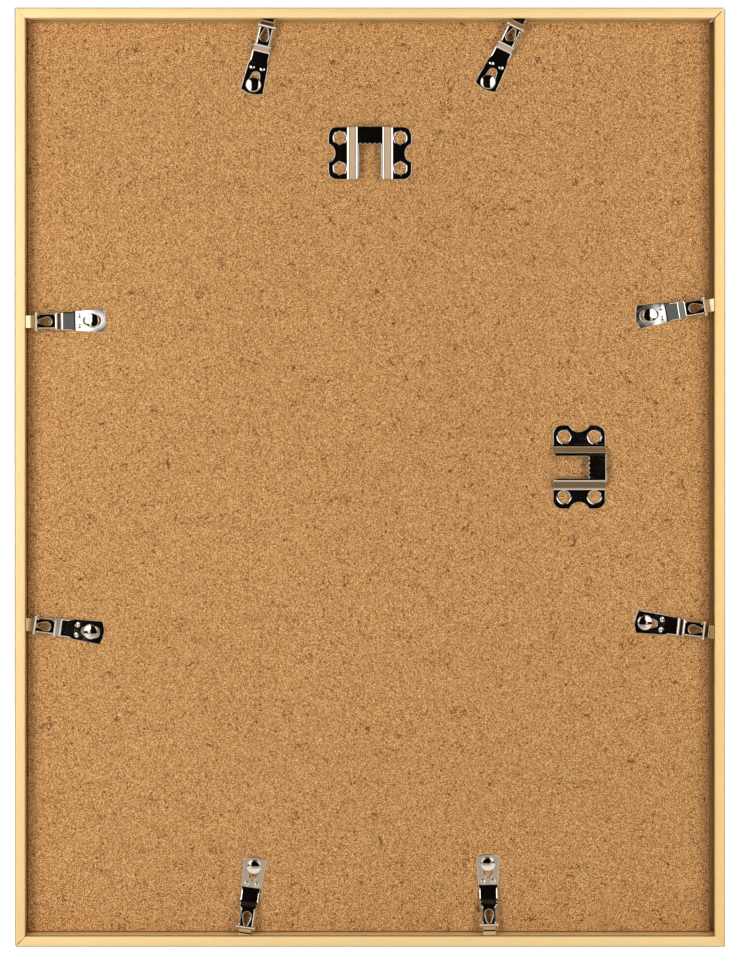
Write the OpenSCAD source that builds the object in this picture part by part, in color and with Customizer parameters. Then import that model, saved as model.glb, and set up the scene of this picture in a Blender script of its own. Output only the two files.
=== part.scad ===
// Picture frame for a 30 by 40 cm sheet: four mitred rails, glass, an insert sheet and a
// hardboard back that is held by eight turn clips, with a hanger for each way up.
// Left and right are named as they lie when the back of the frame is looked at.
// X runs to the left in that view, Y runs out of the back to the wall, and Z runs up.
// The origin is where the nail sits in the portrait hanger, in the plane of the wall.
// Depths are counted from that plane towards the front.

/* [Sheets] */
// Width of the glass, the insert and the back
picture_w = 300; // [200:10:500]
// Height of the glass, the insert and the back
picture_h = 400; // [250:10:700]
// Room left between the sheets and the rails, on each side
sheet_play = 0.75; // [0.3:0.05:1.2]
// Thickness of the glass
glass_t = 2; // [1.5:0.1:3]
// Width of the ground edge of the glass
glass_seam = 0.3; // [0.1:0.1:0.6]
// Thickness of the insert sheet
insert_t = 0.3; // [0.1:0.1:0.8]
// Thickness of the hardboard back
board_t = 3; // [2.6:0.1:4]
// Distance that the hardboard back lies to the left of the middle
board_left = 0.6; // [0:0.05:0.7]
// Distance that the hardboard back lies below the middle
board_down = 0.3; // [0:0.05:0.7]

/* [Rails] */
// Depth of the frame from the wall to its front
rail_depth = 15; // [14:0.5:20]
// Width of the rail as seen from behind
rail_w = 4.5; // [4:0.1:7]
// Width of the front lip that holds the glass
front_lip_w = 8; // [6:0.5:16]
// Thickness of the front lip
front_lip_t = 1.5; // [1:0.1:2]
// Thickness of the rear lip that the clips hold behind
rear_lip_t = 1.5; // [1:0.1:2]
// Thickness of the outer wall of the rail
rail_skin = 0.9; // [0.6:0.1:1.4]
// Thickness of the wall beside the sheets
rail_inner_wall = 1.2; // [0.6:0.1:1.6]
// Height of the groove that the clip tongues turn in
groove_h = 2; // [1.6:0.1:2.6]
// Thickness of the web between the groove and the key chamber
rail_web = 1.2; // [0.8:0.1:2]

/* [Corners] */
// Gap of the mitre at the outer corner, top left
gap_top_left = 0.15; // [0.04:0.01:1]
// Gap of the mitre at the outer corner, top right
gap_top_right = 0.55; // [0.04:0.01:1]
// Gap of the mitre at the outer corner, bottom left
gap_bottom_left = 0.4; // [0.04:0.01:1]
// Gap of the mitre at the outer corner, bottom right
gap_bottom_right = 0.06; // [0.04:0.01:1]
// Gap of every mitre at the inner end of its cut
gap_inner = 0.02; // [0.01:0.01:0.04]
// Length of each leg of a corner key
key_leg = 25; // [15:1:40]
// Clearance round a corner key in its chamber
key_play = 0.05; // [0.02:0.01:0.15]
// Length of the tapered lead at each end of a key
key_lead = 1.5; // [0.5:0.1:3]
// Amount that the lead is thinner on each face
key_lead_taper = 0.4; // [0.1:0.05:0.8]

/* [Hangers] */
// Distance of the nail seat from the outer edge above it
hang_drop = 59; // [40:1:100]
// Height of the landscape hanger above the middle of the frame
landscape_raise = 4; // [-20:1:20]
// Width over both wings
hanger_w = 36.9; // [34:0.5:50]
// Height of the hanger
hanger_h = 23.2; // [20:0.2:30]
// Thickness of the sheet metal
hanger_t = 0.8; // [0.5:0.1:1]
// Height of the bridge over the back, to its outer face
bridge_lift = 3.8; // [3:0.1:5.5]
// Width of the bridge between its bends
bridge_w = 12; // [9:0.2:14]
// Height of the bridge above the nail seat
bridge_h = 7.4; // [5:0.2:10]
// Width of the open window under the bridge
window_w = 9.7; // [7:0.1:10.5]
// Width of each slope between a wing and the bridge
riser_run = 3.5; // [2.8:0.1:5]
// Cut corner at the foot of each side of the window
window_chamfer = 1.1; // [0.3:0.1:1.2]
// Corner radius of the wings
wing_corner_r = 4; // [2:0.2:5]
// Radius of the hollow in the outer edge of each wing
wing_hollow_r = 4.5; // [3:0.1:5]
// Depth of that hollow
wing_hollow_depth = 2.9; // [1.5:0.1:3.5]
// Distance between teeth
tooth_pitch = 2.1; // [1.6:0.1:2.3]
// Radius of the notch between two teeth
notch_r = 0.75; // [0.5:0.05:0.95]
// Notches along the bridge, with one in the middle
notch_count = 5; // [1:2:5]
// Depth of a notch from the tips of the teeth to the nail seat
notch_depth = 0.7; // [0.4:0.05:0.9]
// Distance between the claw holes across the hanger
claw_pitch_x = 26.5; // [24.5:0.5:29]
// Distance between the claw holes along the hanger
claw_pitch_z = 13.4; // [11:0.2:15]
// Radius of a claw hole
claw_hole_r = 2.4; // [1.8:0.1:2.7]
// Width of the turned-in rim round a claw hole
claw_rim = 0.6; // [0.4:0.1:0.9]
// Width of a claw at its root
claw_w = 1.8; // [1:0.1:2.2]
// Depth that the claws reach into the board
claw_depth = 2.2; // [1:0.1:2.4]
// Clearance round a claw in the board
claw_play = 0.05; // [0.02:0.01:0.1]

/* [Turn clips] */
// Length of a clip from its round end to the tip of its tongue
clip_len = 36; // [34:0.5:42]
// Thickness of the spring steel
clip_t = 0.6; // [0.4:0.05:0.7]
// Clearance between a clip's foot and the board
clip_lift = 0.1; // [0.05:0.05:0.3]
// Width at the round end
clip_foot_w = 10.4; // [9.5:0.1:13]
// Radius of the round end
clip_end_r = 11.3; // [8:0.1:16]
// Width at the first bend
clip_bend_w = 9; // [7:0.1:9.5]
// Width at the shoulder, over both shoulders
clip_shoulder_w = 8.1; // [6.5:0.1:9]
// Width of the arm
clip_arm_w = 6.8; // [5.6:0.1:7.2]
// Width over the ears at the end of the arm
clip_ear_w = 8.2; // [6.6:0.1:9]
// Width of the tongue
clip_tongue_w = 5.7; // [4:0.1:6]
// Distance of the first bend from the round end
clip_bend_s = 13.6; // [12.6:0.1:15]
// Length of the gentle rise after the first bend
clip_rise_run = 5.7; // [4:0.1:7]
// Length of the steep rise up to the shoulder
clip_steep_run = 2.2; // [2:0.1:4]
// Length of the tongue beyond the ears
clip_tongue_run = 5.6; // [4:0.1:6]
// Length of the step between the arm and the level tongue
clip_step_run = 1.8; // [0.8:0.1:2]
// Corner radius of the tongue's tip
clip_tip_r = 0.9; // [0.3:0.1:1.5]
// Depth of the edges that are folded down beside the arm
clip_fold_h = 1.4; // [0.4:0.1:1.8]
// Room between the tongue and the rear lip
tongue_play = 0.15; // [0.1:0.05:0.4]
// Radius of the wide end of the slot in the foot
slot_big_r = 2.4; // [1.9:0.05:2.5]
// Radius of the narrow end of that slot
slot_small_r = 1.7; // [0.8:0.05:1.8]
// Distance between the two ends of that slot
slot_run = 3.9; // [3.8:0.1:4.8]
// Distance of the slot's wide end from the round end
slot_s = 4.5; // [3.6:0.1:5]
// Length of the slot that the clip can slide by
slot_travel = 3.2; // [1.5:0.1:3.3]
// Radius of the wide end of the hole in the arm
eye_big_r = 1.9; // [1.2:0.05:2.2]
// Radius of the narrow end of that hole
eye_small_r = 0.9; // [0.5:0.05:1.2]
// Distance between the two ends of that hole
eye_run = 3.1; // [2.5:0.05:3.6]
// Distance of that hole's wide end from the shoulder
eye_from_shoulder = 3.9; // [3:0.1:4.2]
// Radius of a pressed pip
pip_r = 0.95; // [0.5:0.05:1.1]
// Height of a pressed pip
pip_h = 0.25; // [0.2:0.05:0.6]
// Distance of the pips from the first bend
pip_from_bend = 1.8; // [1.2:0.1:2.2]
// Distance between the two pips
pip_pitch = 4.6; // [3:0.1:5.5]

/* [Rivets] */
// Radius of the rivet's shank
shank_r = 1.5; // [1.2:0.05:1.55]
// Clearance round the shank in the board and at the slot's end
shank_play = 0.05; // [0.02:0.01:0.1]
// Radius of the domed head
head_r = 3.25; // [2.8:0.05:3.5]
// Height of the domed head
head_h = 1.3; // [1:0.1:2]
// Height of the straight rim under the dome
head_rim = 0.65; // [0.1:0.05:0.8]
// Radius of the rolled tail in the front of the board
tail_r = 2.5; // [2:0.1:3]
// Height of the rolled tail
tail_h = 0.9; // [0.5:0.1:1.2]
// Radius of the hollow in the tail
tail_bore_r = 1; // [0.5:0.1:1.1]
// Depth of the hollow in the tail
tail_bore_depth = 2; // [1:0.1:2.4]

/* [Hidden] */
$fn = 64;

// Overrun of every cut past the face that it opens
cut_over = 1;

// The frame's outer size and its middle
outer_w = picture_w + 2 * (sheet_play + rail_w);
outer_h = picture_h + 2 * (sheet_play + rail_w);
middle_z = hang_drop - outer_h / 2;

// Depths of the stack, from the wall
glass_front = rail_depth - front_lip_t;
glass_back = glass_front - glass_t;
board_front = glass_back - insert_t;
board_back = board_front - board_t;

// Depths of the groove and of the key chamber
groove_end = rear_lip_t + groove_h;
chamber_start = groove_end + rail_web;
groove_reach = rail_w - rail_skin;
chamber_w = rail_w - rail_skin - rail_inner_wall;

// Heights of a clip's outer face over the board, as shares of its tongue's height:
// at the end of the gentle rise, at the shoulder and at the end of the arm
tongue_height = board_back - rear_lip_t - tongue_play;
clip_height_shares = [0.285, 0.595, 0.73];
clip_shoulder_s = clip_bend_s + clip_rise_run + clip_steep_run;
clip_ear_s = clip_len - clip_tongue_run;

// The eight clips. Way is the direction of the rail as an angle about Y.
// Along is the place along the rail, as a share of the sheet on that side.
// Tilt is in degrees, clockwise from behind. Slide is the clip's place on its slot, as a
// share of the travel. Hold is how far its tip lies behind the lip, as a share of the groove.
TOP = -90;
BOTTOM = 90;
LEFT = 0;
RIGHT = 180;
//            way     along   tilt   slide  hold
clip_shares = [
    [TOP,     0.171,  13.5,  0.19,  0.64],
    [TOP,    -0.173,  26.4,  0.00,  0.45],
    [LEFT,    0.171,  -0.9,  0.75,  0.39],
    [LEFT,   -0.171,   8.1,  0.69,  0.51],
    [RIGHT,   0.177,  -9.5,  0.81,  0.45],
    [RIGHT,  -0.161,   6.9,  0.31,  0.37],
    [BOTTOM,  0.170,   8.2,  0.22,  0.69],
    [BOTTOM, -0.173,  -0.8,  0.22,  0.42]
];

// Where the rivet stands on the clip, from the round end
function rivet_s(i) = slot_s - slot_big_r + shank_r + 2 * shank_play + clip_shares[i][3] * slot_travel;

// Distance of the rivet from the rail's inner face
function setback(i) = (clip_len - rivet_s(i)) * cos(clip_shares[i][2]) - clip_shares[i][4] * groove_reach;

// The rivet's place, seen along the depth
function rivet_x(i) = let (way = clip_shares[i][0])
    way == TOP || way == BOTTOM ? clip_shares[i][1] * picture_w
    : cos(way) * (outer_w / 2 - rail_w - setback(i));
function rivet_z(i) = let (way = clip_shares[i][0])
    middle_z + (way == LEFT || way == RIGHT ? clip_shares[i][1] * picture_h
    : -sin(way) * (outer_h / 2 - rail_w - setback(i)));

// A bent strip of sheet metal: a path along its outer face, thickened to its inner side
function unit(v) = v / norm(v);
function left_of(a, b) = let (d = unit(b - a)) [-d[1], d[0]];
function mitre(path, i) =
    let (before = i > 0 ? left_of(path[i - 1], path[i]) : left_of(path[0], path[1]))
    let (after = i < len(path) - 1 ? left_of(path[i], path[i + 1]) : before)
    let (middle = unit(before + after))
    middle / (middle * before);
function strip(path, t) =
    concat(path, [for (i = [len(path) - 1 : -1 : 0]) path[i] - mitre(path, i) * t]);

// Extrudes an outline in X and Z from one depth to another
module slab(from_depth, to_depth) {
    translate([0, -from_depth, 0]) rotate([90, 0, 0]) linear_extrude(to_depth - from_depth) children();
}

// A round hole with a narrower round end, pointing along X
module drop_shape(big_r, small_r, run) {
    lean = acos((big_r - small_r) / run);
    circle(big_r);
    translate([run, 0]) circle(small_r);
    polygon([
        [big_r * cos(lean), big_r * sin(lean)], [big_r * cos(lean), -big_r * sin(lean)],
        [run + small_r * cos(lean), -small_r * sin(lean)], [run + small_r * cos(lean), small_r * sin(lean)]
    ]);
}

// The rail's section: Y towards the wall, Z outwards, from its outer face inwards
module rail_section(half_across) {
    difference() {
        polygon([
            [0, half_across], [0, half_across - rail_w],
            [-rear_lip_t, half_across - rail_w], [-rear_lip_t, half_across - rail_skin],
            [-groove_end, half_across - rail_skin], [-groove_end, half_across - rail_w],
            [-glass_front, half_across - rail_w], [-glass_front, half_across - front_lip_w],
            [-rail_depth, half_across - front_lip_w], [-rail_depth, half_across]
        ]);
        translate([-glass_front, half_across - rail_skin - chamber_w])
            square([glass_front - chamber_start, chamber_w]);
    }
}

// A rail that lies along X at the top of a frame: its gaps are at its +X end and its -X end
module rail(run, half_across, gap_plus, gap_minus) {
    intersection() {
        rotate([90, 0, 90]) linear_extrude(run, center = true) rail_section(half_across);
        slab(-cut_over, rail_depth + cut_over) polygon([
            [run / 2 - gap_plus / sqrt(2), half_across],
            [run / 2 - front_lip_w - gap_inner / sqrt(2), half_across - front_lip_w],
            [-run / 2 + front_lip_w + gap_inner / sqrt(2), half_across - front_lip_w],
            [-run / 2 + gap_minus / sqrt(2), half_across]
        ]);
    }
}

module placed_rail(turn, run, half_across, gap_plus, gap_minus) {
    color("#f0d69b") translate([0, 0, middle_z]) rotate([0, turn, 0])
        rail(run, half_across, gap_plus, gap_minus);
}

// A corner key's outline, with its outer corner at the origin and its legs along +X and -Y
module key_outline() {
    key_w = chamber_w - 2 * key_play;
    polygon([
        [0, 0], [key_leg - key_lead, 0], [key_leg, -key_lead_taper],
        [key_leg, key_lead_taper - key_w], [key_leg - key_lead, -key_w], [key_w, -key_w],
        [key_w, key_lead - key_leg], [key_w - key_lead_taper, -key_leg],
        [key_lead_taper, -key_leg], [0, key_lead - key_leg]
    ]);
}

// A corner key: two legs at a right angle, in the corner on side_x and side_z of the middle
module corner_key(side_x, side_z) {
    color("#8d8f92") translate([0, 0, middle_z]) mirror([side_x > 0 ? 1 : 0, 0, 0])
        mirror([0, 0, side_z < 0 ? 1 : 0])
        translate([-outer_w / 2 + rail_skin + key_play, 0, outer_h / 2 - rail_skin - key_play])
        slab(chamber_start + key_play, glass_front - key_play) key_outline();
}

// A flat sheet with its edges ground off, between two depths
module sheet(front, back, seam) {
    t = front - back;
    half_w = picture_w / 2;
    half_h = picture_h / 2;
    translate([0, -back, middle_z]) intersection() {
        rotate([90, 0, 90]) linear_extrude(picture_w, center = true) polygon([
            [0, half_h - seam], [-seam, half_h], [seam - t, half_h], [-t, half_h - seam],
            [-t, seam - half_h], [seam - t, -half_h], [-seam, -half_h], [0, seam - half_h]
        ]);
        linear_extrude(picture_h, center = true) polygon([
            [half_w - seam, 0], [half_w, -seam], [half_w, seam - t], [half_w - seam, -t],
            [seam - half_w, -t], [-half_w, seam - t], [-half_w, -seam], [seam - half_w, 0]
        ]);
    }
}

// The four claws of one hole, drawn as wedges that narrow to their tips
module claws(play) {
    claw_root = hanger_t / 4;
    for (turn = [0 : 90 : 270])
        rotate([0, turn, 0]) translate([claw_hole_r - play, -board_back, 0]) rotate([90, 0, 90])
            linear_extrude(claw_rim + 2 * play) polygon([
                [claw_root, claw_w / 2 + play], [claw_root, -claw_w / 2 - play],
                [0, -claw_w / 2 - play], [-claw_depth - play, -claw_w / 8 - play],
                [-claw_depth - play, claw_w / 8 + play], [0, claw_w / 2 + play]
            ]);
}

// Puts its children at each claw hole of a hanger
module each_claw_hole() {
    for (side_x = [-1, 1], side_z = [-1, 1])
        translate([side_x * claw_pitch_x / 2, 0, bridge_h - hanger_h / 2 + side_z * claw_pitch_z / 2])
            children();
}

// One half of the hanger's outline, on its +X side
module wing_outline() {
    half_w = hanger_w / 2;
    foot_z = bridge_h - hanger_h;
    difference() {
        union() {
            translate([0, foot_z]) square([half_w - wing_corner_r, hanger_h]);
            translate([0, foot_z + wing_corner_r]) square([half_w, hanger_h - 2 * wing_corner_r]);
            for (z = [foot_z + wing_corner_r, bridge_h - wing_corner_r])
                translate([half_w - wing_corner_r, z]) circle(wing_corner_r);
        }
        translate([half_w + wing_hollow_r - wing_hollow_depth, foot_z + hanger_h / 2]) circle(wing_hollow_r);
    }
}

// A sawtooth hanger, pressed from one sheet: its nail seat is at X and Z zero
module hanger() {
    bend_w = bridge_w / 2;
    wing_w = hanger_w / 2;
    foot_z = bridge_h - hanger_h;
    hat = [
        [wing_w, hanger_t], [bend_w + riser_run, hanger_t], [bend_w, bridge_lift],
        [-bend_w, bridge_lift], [-bend_w - riser_run, hanger_t], [-wing_w, hanger_t]
    ];
    color("#b9b7b2") {
        difference() {
            intersection() {
                translate([0, -board_back, foot_z]) linear_extrude(hanger_h)
                    polygon(strip([for (i = [len(hat) - 1 : -1 : 0]) hat[i]], hanger_t));
                slab(0, board_back) {
                    wing_outline();
                    mirror([1, 0]) wing_outline();
                }
            }
            slab(0, board_back) {
                polygon([
                    [-window_w / 2, -notch_depth], [window_w / 2, -notch_depth],
                    [window_w / 2, foot_z + window_chamfer], [window_w / 2 + window_chamfer, foot_z],
                    [window_w / 2 + window_chamfer, foot_z - cut_over],
                    [-window_w / 2 - window_chamfer, foot_z - cut_over],
                    [-window_w / 2 - window_chamfer, foot_z], [-window_w / 2, foot_z + window_chamfer]
                ]);
            }
            for (i = [0 : notch_count - 1])
                translate([(i - (notch_count - 1) / 2) * tooth_pitch, 0, -notch_r])
                    slab(0, board_back) circle(notch_r);
            each_claw_hole() {
                slab(board_back - bridge_lift, board_back + cut_over) circle(claw_hole_r);
                translate([0, -board_back + hanger_t, 0]) rotate([90, 0, 0])
                    cylinder(h = claw_rim, r1 = claw_hole_r + claw_rim, r2 = claw_hole_r);
            }
        }
        each_claw_hole() claws(0);
    }
}

// The clip's outer face from its round end to its tip, as distance along and height over the board
clip_path = [
    [0, clip_lift + clip_t],
    [clip_bend_s, clip_lift + clip_t],
    [clip_bend_s + clip_rise_run, tongue_height * clip_height_shares[0]],
    [clip_shoulder_s, tongue_height * clip_height_shares[1]],
    [clip_ear_s, tongue_height * clip_height_shares[2]],
    [clip_ear_s + clip_step_run, tongue_height],
    [clip_len, tongue_height]
];

// The clip's edge on one side, as distance along and half width
clip_end_drop = clip_end_r - sqrt(clip_end_r * clip_end_r - clip_foot_w * clip_foot_w / 4);
clip_edge = [
    [clip_end_drop, clip_foot_w / 2],
    [clip_bend_s, clip_bend_w / 2],
    [clip_bend_s + clip_rise_run, clip_shoulder_w / 2],
    [clip_shoulder_s, clip_shoulder_w / 2],
    [clip_shoulder_s + clip_t, clip_arm_w / 2],
    [clip_ear_s - 2 * clip_t, clip_arm_w / 2],
    [clip_ear_s - clip_t / 2, clip_ear_w / 2],
    [clip_ear_s + clip_t / 2, clip_ear_w / 2],
    [clip_ear_s + clip_step_run, clip_tongue_w / 2],
    [clip_len - clip_tip_r, clip_tongue_w / 2]
];

// The clip's outline, flat
module clip_outline() {
    lower_edge = [for (i = [len(clip_edge) - 1 : -1 : 0]) [clip_edge[i][0], -clip_edge[i][1]]];
    polygon(concat(clip_edge, lower_edge));
    intersection() {
        translate([clip_end_r, 0]) circle(clip_end_r);
        translate([0, -clip_foot_w / 2]) square([clip_end_drop, clip_foot_w]);
    }
    translate([clip_len - clip_tip_r, clip_tip_r - clip_tongue_w / 2])
        square([clip_tip_r, clip_tongue_w - 2 * clip_tip_r]);
    for (side = [-1, 1])
        translate([clip_len - clip_tip_r, side * (clip_tongue_w / 2 - clip_tip_r)]) circle(clip_tip_r);
}

// A turn clip that points along X, measured from its round end
module clip_shape() {
    fold_start = clip_shoulder_s + clip_t;
    fold_end = clip_ear_s - 2 * clip_t;
    arm_slope = (clip_path[4][1] - clip_path[3][1]) / (clip_path[4][0] - clip_path[3][0]);
    fold_path = [for (s = [fold_start, fold_end]) [s, clip_path[3][1] + (s - clip_shoulder_s) * arm_slope]];
    difference() {
        intersection() {
            translate([0, -board_back, 0]) linear_extrude(clip_foot_w, center = true)
                polygon(strip(clip_path, clip_t));
            slab(0, board_back) clip_outline();
        }
        slab(0, board_back + cut_over) {
            translate([slot_s, 0]) drop_shape(slot_big_r, slot_small_r, slot_run);
            translate([clip_shoulder_s + eye_from_shoulder, 0]) drop_shape(eye_big_r, eye_small_r, eye_run);
        }
    }
    for (side = [-1, 1])
        translate([0, -board_back, side * (clip_arm_w - clip_t) / 2])
            linear_extrude(clip_t, center = true) polygon(strip(fold_path, clip_fold_h + clip_t));
    for (side = [-1, 1])
        translate([clip_bend_s - pip_from_bend, -board_back + clip_lift + clip_t, side * pip_pitch / 2]) pip();
}

// A pressed pip: a low dome on the face of the metal
module pip() {
    dome_r = (pip_r * pip_r + pip_h * pip_h) / (2 * pip_h);
    rotate([-90, 0, 0]) intersection() {
        translate([0, 0, pip_h - dome_r]) sphere(dome_r);
        translate([0, 0, -clip_t / 2]) cylinder(h = pip_h + clip_t / 2, r = pip_r);
    }
}

// A clip and its rivet stand at the same place on the board
module turn_clip(i) {
    color("#c9c7c2") translate([rivet_x(i), 0, rivet_z(i)])
        rotate([0, clip_shares[i][0] - clip_shares[i][2], 0]) translate([-rivet_s(i), 0, 0]) clip_shape();
}

// A semi-tubular rivet: a domed head over the clip, a shank, and a tail rolled out in the board
module clip_rivet(i) {
    seat = board_back - clip_lift - clip_t - shank_play;
    dome_h = head_h - head_rim;
    dome_r = (head_r * head_r + dome_h * dome_h) / (2 * dome_h);
    color("#d8d6d2") translate([rivet_x(i), 0, rivet_z(i)]) difference() {
        rotate([90, 0, 0]) {
            translate([0, 0, seat - head_rim]) cylinder(h = head_rim, r = head_r);
            intersection() {
                translate([0, 0, seat - head_h]) cylinder(h = dome_h, r = head_r);
                translate([0, 0, seat - head_h + dome_r]) sphere(dome_r);
            }
            translate([0, 0, seat]) cylinder(h = board_front - seat, r = shank_r);
            translate([0, 0, board_front - tail_h]) cylinder(h = tail_h, r1 = shank_r, r2 = tail_r);
        }
        translate([0, -board_front + tail_bore_depth, 0]) rotate([90, 0, 0])
            cylinder(h = tail_bore_depth + cut_over, r = tail_bore_r);
    }
}

// The four rails, mitred at their ends
module top_rail() { placed_rail(0, outer_w, outer_h / 2, gap_top_left, gap_top_right); }
module bottom_rail() { placed_rail(180, outer_w, outer_h / 2, gap_bottom_right, gap_bottom_left); }
module left_rail() { placed_rail(90, outer_h, outer_w / 2, gap_bottom_left, gap_top_left); }
module right_rail() { placed_rail(-90, outer_h, outer_w / 2, gap_top_right, gap_bottom_right); }

// The four keys inside the corners
module key_top_left() { corner_key(1, 1); }
module key_top_right() { corner_key(-1, 1); }
module key_bottom_left() { corner_key(1, -1); }
module key_bottom_right() { corner_key(-1, -1); }

// The glass, with ground edges
module glass_pane() { color([0.8, 0.9, 0.9, 0.5]) sheet(glass_front, glass_back, glass_seam); }

// The plain paper insert
module insert_sheet() { color("white") sheet(glass_back, board_front, insert_t / 8); }

// The hardboard back, drilled and countersunk for the rivets and slit by the claws
module backing_board() {
    color("#b98c5e") difference() {
        translate([board_left, 0, -board_down]) sheet(board_front, board_back, board_t / 12);
        for (i = [0 : len(clip_shares) - 1])
            translate([rivet_x(i), 0, rivet_z(i)]) {
                slab(board_back - cut_over, board_front + cut_over) circle(shank_r + shank_play);
                translate([0, -board_front + tail_h, 0]) rotate([90, 0, 0])
                    cylinder(h = tail_h, r1 = shank_r + shank_play, r2 = tail_r + 2 * shank_play);
            }
        each_claw_hole() claws(claw_play);
        landscape() each_claw_hole() claws(claw_play);
    }
}

// Turns the portrait hanger's place into the landscape hanger's
module landscape() {
    translate([hang_drop - outer_w / 2, 0, middle_z + landscape_raise]) rotate([0, -90, 0]) children();
}

// The two hangers
module portrait_hanger() { hanger(); }
module landscape_hanger() { landscape() hanger(); }

// The eight clips
module clip_top_left() { turn_clip(0); }
module clip_top_right() { turn_clip(1); }
module clip_left_upper() { turn_clip(2); }
module clip_left_lower() { turn_clip(3); }
module clip_right_upper() { turn_clip(4); }
module clip_right_lower() { turn_clip(5); }
module clip_bottom_left() { turn_clip(6); }
module clip_bottom_right() { turn_clip(7); }

// The eight rivets
module rivet_top_left() { clip_rivet(0); }
module rivet_top_right() { clip_rivet(1); }
module rivet_left_upper() { clip_rivet(2); }
module rivet_left_lower() { clip_rivet(3); }
module rivet_right_upper() { clip_rivet(4); }
module rivet_right_lower() { clip_rivet(5); }
module rivet_bottom_left() { clip_rivet(6); }
module rivet_bottom_right() { clip_rivet(7); }

top_rail();
bottom_rail();
left_rail();
right_rail();
key_top_left();
key_top_right();
key_bottom_left();
key_bottom_right();
glass_pane();
insert_sheet();
backing_board();
portrait_hanger();
landscape_hanger();
clip_top_left();
clip_top_right();
clip_left_upper();
clip_left_lower();
clip_right_upper();
clip_right_lower();
clip_bottom_left();
clip_bottom_right();
rivet_top_left();
rivet_top_right();
rivet_left_upper();
rivet_left_lower();
rivet_right_upper();
rivet_right_lower();
rivet_bottom_left();
rivet_bottom_right();
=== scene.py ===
# Picture frame for a 30 by 40 cm sheet, seen from behind: four mitred gold rails, glass, an
# insert, a hardboard back, two sawtooth hangers and eight turn clips on rivets.
# The camera stands on the wall's side, so image right is -X and the clips' side is +Y.
import math

import bmesh
import bpy
from mathutils import Matrix, Vector


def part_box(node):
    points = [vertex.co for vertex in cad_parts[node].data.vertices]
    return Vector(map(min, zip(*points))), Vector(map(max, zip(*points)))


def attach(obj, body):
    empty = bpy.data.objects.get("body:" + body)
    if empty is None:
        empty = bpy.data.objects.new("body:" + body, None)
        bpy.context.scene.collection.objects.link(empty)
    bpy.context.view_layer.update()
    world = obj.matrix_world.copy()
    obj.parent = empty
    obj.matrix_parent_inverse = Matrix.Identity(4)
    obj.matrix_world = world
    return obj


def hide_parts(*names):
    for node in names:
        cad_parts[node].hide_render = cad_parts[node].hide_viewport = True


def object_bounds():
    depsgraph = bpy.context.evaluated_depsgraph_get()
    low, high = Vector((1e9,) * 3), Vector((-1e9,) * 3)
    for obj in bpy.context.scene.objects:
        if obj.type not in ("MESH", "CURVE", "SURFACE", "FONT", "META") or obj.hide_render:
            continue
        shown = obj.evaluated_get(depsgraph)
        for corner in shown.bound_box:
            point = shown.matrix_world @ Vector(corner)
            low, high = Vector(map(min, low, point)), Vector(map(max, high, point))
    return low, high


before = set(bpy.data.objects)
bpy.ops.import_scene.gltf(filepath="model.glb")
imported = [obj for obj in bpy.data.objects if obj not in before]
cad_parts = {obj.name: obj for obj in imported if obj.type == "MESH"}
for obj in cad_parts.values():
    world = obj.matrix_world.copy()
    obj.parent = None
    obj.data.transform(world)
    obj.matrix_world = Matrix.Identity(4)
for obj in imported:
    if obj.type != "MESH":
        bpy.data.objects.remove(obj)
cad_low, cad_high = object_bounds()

MM = 0.001

# The camera looks straight at the back from the wall's side, from a little above the middle.
# Its shift brings the frame's middle to the middle of the picture.
view_height = 0.068
view_distance = 1.1
sensor_size = 24
lens_length = 62.75
shift_up = -0.166
middle = (cad_low + cad_high) / 2
camera_data = bpy.data.cameras.new("camera")
camera = bpy.data.objects.new("camera", camera_data)
bpy.context.scene.collection.objects.link(camera)
bpy.context.scene.camera = camera
camera.location = (0, view_distance, middle.z + view_height)
camera.rotation_euler = (math.pi / 2, 0, math.pi)
camera_data.sensor_fit = "VERTICAL"
camera_data.sensor_height = sensor_size
camera_data.sensor_width = sensor_size
camera_data.lens = lens_length
camera_data.shift_y = shift_up
bpy.context.scene.view_settings.view_transform = "Standard"

# The room: white to the eye and through glass, even and plain on matt surfaces, and dim in
# polished metal, which shows the dark room between the lamps.
world = bpy.data.worlds.new("room")
bpy.context.scene.world = world
world.use_nodes = True
room_level = 0.15
room_shine = (0.02, 0.014, 0.008)


def add_node(tree, kind, **inputs):
    """A node of that kind; inputs are values or sockets, by name or as in_0, in_1."""
    node = tree.nodes.new(kind)
    for name, value in inputs.items():
        if hasattr(node, name):
            setattr(node, name, value)
            continue
        key = int(name[3:]) if name.startswith("in_") else name.replace("_", " ")
        socket = node.inputs[key]
        if isinstance(value, bpy.types.NodeSocket):
            tree.links.new(value, socket)
        else:
            socket.default_value = value
    return node


tree = world.node_tree
tree.nodes.clear()
ray = add_node(tree, "ShaderNodeLightPath").outputs
seen = add_node(tree, "ShaderNodeMath", operation="MAXIMUM", in_0=ray["Is Camera Ray"],
                in_1=ray["Is Transmission Ray"]).outputs[0]
plain = add_node(tree, "ShaderNodeBackground", Color=(1, 1, 1, 1), Strength=room_level)
shine = add_node(tree, "ShaderNodeBackground", Color=(*room_shine, 1), Strength=1)
white = add_node(tree, "ShaderNodeBackground", Color=(1, 1, 1, 1), Strength=1)
metal_mix = add_node(tree, "ShaderNodeMixShader", in_0=ray["Is Glossy Ray"],
                     in_1=plain.outputs[0], in_2=shine.outputs[0])
eye_mix = add_node(tree, "ShaderNodeMixShader", in_0=seen, in_1=metal_mix.outputs[0],
                   in_2=white.outputs[0])
add_node(tree, "ShaderNodeOutputWorld", in_0=eye_mix.outputs[0])


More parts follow.
